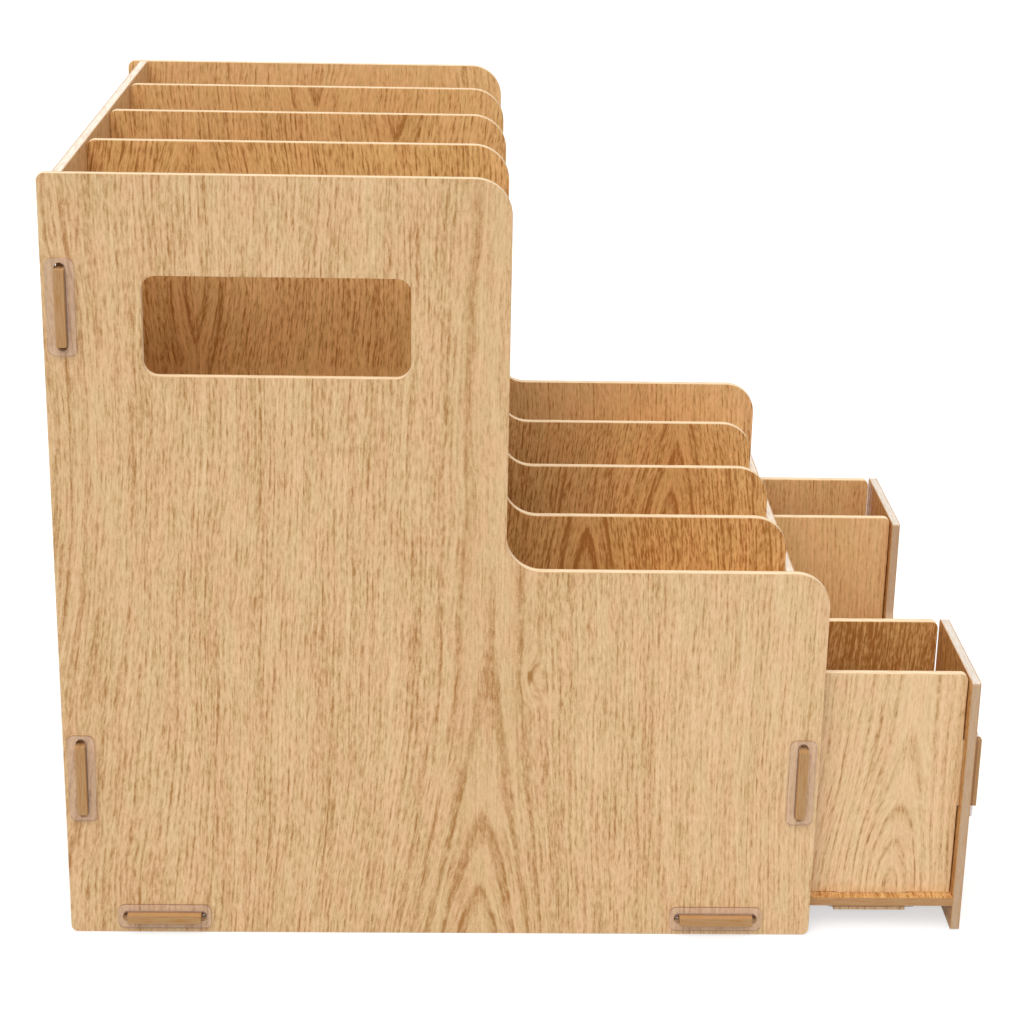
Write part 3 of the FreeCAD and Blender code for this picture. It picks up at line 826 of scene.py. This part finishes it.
class ORGANIZER_OT_drawer_walls(bpy.types.Operator):
    """Dress the four drawer walls"""
    bl_idname = "organizer.drawer_walls"
    bl_label = "Drawer walls"

    def execute(self, context):
        near_arches = Heart(across=161.5, along=18.0, tilt=0.3, reach=70.0, strength=1.1,
                            limit=16.0, lean=0.04, wander=2.0)
        near_rear_arches = Heart(across=120.0, along=150.0, tilt=0.2, reach=40.0)
        far_inner_arches = Heart(across=60.0, along=-40.0, tilt=0.1, reach=40.0, strength=0.6)
        far_outer_arches = Heart(across=60.0, along=-60.0, tilt=0.1, reach=40.0, strength=0.6)
        # Painted light and shade: the near outer wall is made paler as if lit from its side, the near inner
        # wall is darkened by its inside share and darker tone, and the far walls get painted shade that their
        # tone shifts lift again.
        sheets = {
            "near_outer": Sheet([near_arches], seed=121.0, light=0.26, spread=1.15, vivid=0.3),
            "near_inner": Sheet([near_rear_arches], seed=125.7, inner=1.0, light=-0.28),
            "far_inner": Sheet([far_inner_arches], seed=130.4, inner=0.7, light=0.24, vivid=-0.35),
            "far_outer": Sheet([far_outer_arches], seed=135.1, inner=0.7, light=0.12, vivid=-0.2)}
        tips = between(X, "drawer_back", "drawer_front")
        for wall, sheet in sheets.items():
            dressed_board("drawer_%s_wall" % wall, Y, sheet, tips=tips)
        return {"FINISHED"}


class ORGANIZER_OT_clips(bpy.types.Operator):
    """Dress the clear clips that lock the tenons"""
    bl_idname = "organizer.clips"
    bl_label = "Clear clips"

    def execute(self, context):
        axes = {"near_side_clips": Y, "far_side_clips": Y, "back_panel_clips": X, "floor_clips": Z,
                "drawer_front_clips": X, "drawer_bottom_clips": X, "drawer_glide_clips": Z}
        for node, axis in axes.items():
            dressed_clips(node, axis)
        return {"FINISHED"}


FLOOR_ROUGHNESS, FLOOR_REACH = 0.9, 20.0    # the floor's half side is in metres
FLOOR_GAP = 0.2 * MM                        # air between the floor and the object's feet


def white_floor(settings):
    """A pale floor that keeps shadows; the camera and gloss see it a little brighter, so it ends white."""
    finish = Finish(bpy.data.materials.new("pale_floor"))
    lift = finish.seen() * settings.floor_lift
    return finish.surface(
        Base_Color=settings.floor_colour, Roughness=FLOOR_ROUGHNESS, Specular_IOR_Level=0.0,
        Emission_Color=finish.vector(lift, lift, lift), Emission_Strength=1.0)


def add_floor(settings):
    mesh = bmesh.new()
    bmesh.ops.create_grid(mesh, x_segments=1, y_segments=1, size=FLOOR_REACH)
    data = bpy.data.meshes.new("floor")
    mesh.to_mesh(data)
    mesh.free()
    data.materials.append(white_floor(settings))
    floor = bpy.data.objects.new("floor", data)
    floor.location.z = -FLOOR_GAP
    bpy.context.scene.collection.objects.link(floor)


def add_world(settings):
    """Even white light from all round; the camera, gloss and clear plastic see plain white."""
    studio = Finish(bpy.data.worlds.new("studio"))
    strength = settings.room_light + studio.seen() * (1.0 - settings.room_light)
    studio.node("ShaderNodeOutputWorld", Surface=studio.node(
        "ShaderNodeBackground", Color=(1.0, 1.0, 1.0), Strength=strength))
    bpy.context.scene.world = studio.block


KEY_DIRECTION, KEY_SPREAD = (0.25, 0.75, -0.95), math.radians(50)
TOP_DIRECTION, TOP_SPREAD = (0.0, 0.0, -1.0), math.radians(80)


def add_soft_sun(name, direction, spread, strength):
    """A very wide distant light shining along the direction."""
    light = bpy.data.lights.new(name, "SUN")
    light.angle = spread
    light.energy = strength
    lamp = bpy.data.objects.new(name, light)
    lamp.rotation_euler = Vector(direction).to_track_quat("-Z", "Y").to_euler()
    bpy.context.scene.collection.objects.link(lamp)


AIM_ALONG, AIM_HEIGHT = 186.2 * MM, 235.6 * MM  # from the rear foot of the near side panel
SENSOR_WIDTH = 36.0                             # millimetres, as Blender keeps it
NEAREST_SEEN = 0.01


def add_camera(settings):
    """Aims at a point on the near side panel, above the middle of its height."""
    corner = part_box("near_side_panel")[0]
    aim = Vector((corner.x + AIM_ALONG, corner.y, corner.z + AIM_HEIGHT))
    pitch, yaw, roll = settings.pitch, settings.yaw, settings.roll
    ahead = Vector((math.sin(yaw) * math.cos(pitch), math.cos(yaw) * math.cos(pitch), -math.sin(pitch)))
    level = Vector((math.cos(yaw), -math.sin(yaw), 0.0))
    upright = level.cross(ahead)
    right = level * math.cos(roll) + upright * math.sin(roll)
    up = upright * math.cos(roll) - level * math.sin(roll)
    data = bpy.data.cameras.new("camera")
    data.sensor_width = SENSOR_WIDTH
    data.lens = settings.focal_length
    data.shift_y = settings.shift
    data.clip_start = NEAREST_SEEN
    camera = bpy.data.objects.new("camera", data)
    turn = Matrix((right, up, -ahead)).transposed().to_4x4()
    camera.matrix_world = Matrix.Translation(aim - ahead * settings.distance) @ turn
    bpy.context.scene.collection.objects.link(camera)
    bpy.context.scene.camera = camera


class ORGANIZER_OT_stage(bpy.types.Operator):
    """Set up the floor, the light and the camera"""
    bl_idname = "organizer.stage"
    bl_label = "Stage"

    def execute(self, context):
        settings = context.scene.organizer_stage
        context.scene.view_settings.view_transform = "Standard"
        add_floor(settings)
        add_world(settings)
        add_soft_sun("key", KEY_DIRECTION, KEY_SPREAD, settings.key_light)
        add_soft_sun("overhead", TOP_DIRECTION, TOP_SPREAD, settings.top_light)
        add_camera(settings)
        return {"FINISHED"}


class ORGANIZER_PT_panel(bpy.types.Panel):
    """Lists the organizer's pieces"""
    bl_idname = "ORGANIZER_PT_panel"
    bl_label = "Desk file organizer"
    bl_space_type = "VIEW_3D"
    bl_region_type = "UI"
    bl_category = "Organizer"

    def draw(self, context):
        for operator in OPERATORS:
            self.layout.operator(operator.bl_idname)


OPERATORS = (
    ORGANIZER_OT_side_panels, ORGANIZER_OT_dividers, ORGANIZER_OT_cross_boards,
    ORGANIZER_OT_shelves, ORGANIZER_OT_drawer, ORGANIZER_OT_drawer_walls,
    ORGANIZER_OT_clips, ORGANIZER_OT_stage)
CLASSES = (BoardSettings, ClipSettings, StageSettings, *OPERATORS, ORGANIZER_PT_panel)


def register():
    for cls in CLASSES:
        bpy.utils.register_class(cls)
    bpy.types.Scene.organizer_boards = bpy.props.PointerProperty(type=BoardSettings)
    bpy.types.Scene.organizer_clips = bpy.props.PointerProperty(type=ClipSettings)
    bpy.types.Scene.organizer_stage = bpy.props.PointerProperty(type=StageSettings)


def unregister():
    del bpy.types.Scene.organizer_stage
    del bpy.types.Scene.organizer_clips
    del bpy.types.Scene.organizer_boards
    for cls in reversed(CLASSES):
        bpy.utils.unregister_class(cls)


def main():
    register()
    bpy.ops.organizer.side_panels()
    bpy.ops.organizer.dividers()
    bpy.ops.organizer.cross_boards()
    bpy.ops.organizer.shelves()
    bpy.ops.organizer.drawer()
    bpy.ops.organizer.drawer_walls()
    bpy.ops.organizer.clips()
    bpy.ops.organizer.stage()


if __name__ == "__main__":
    main()
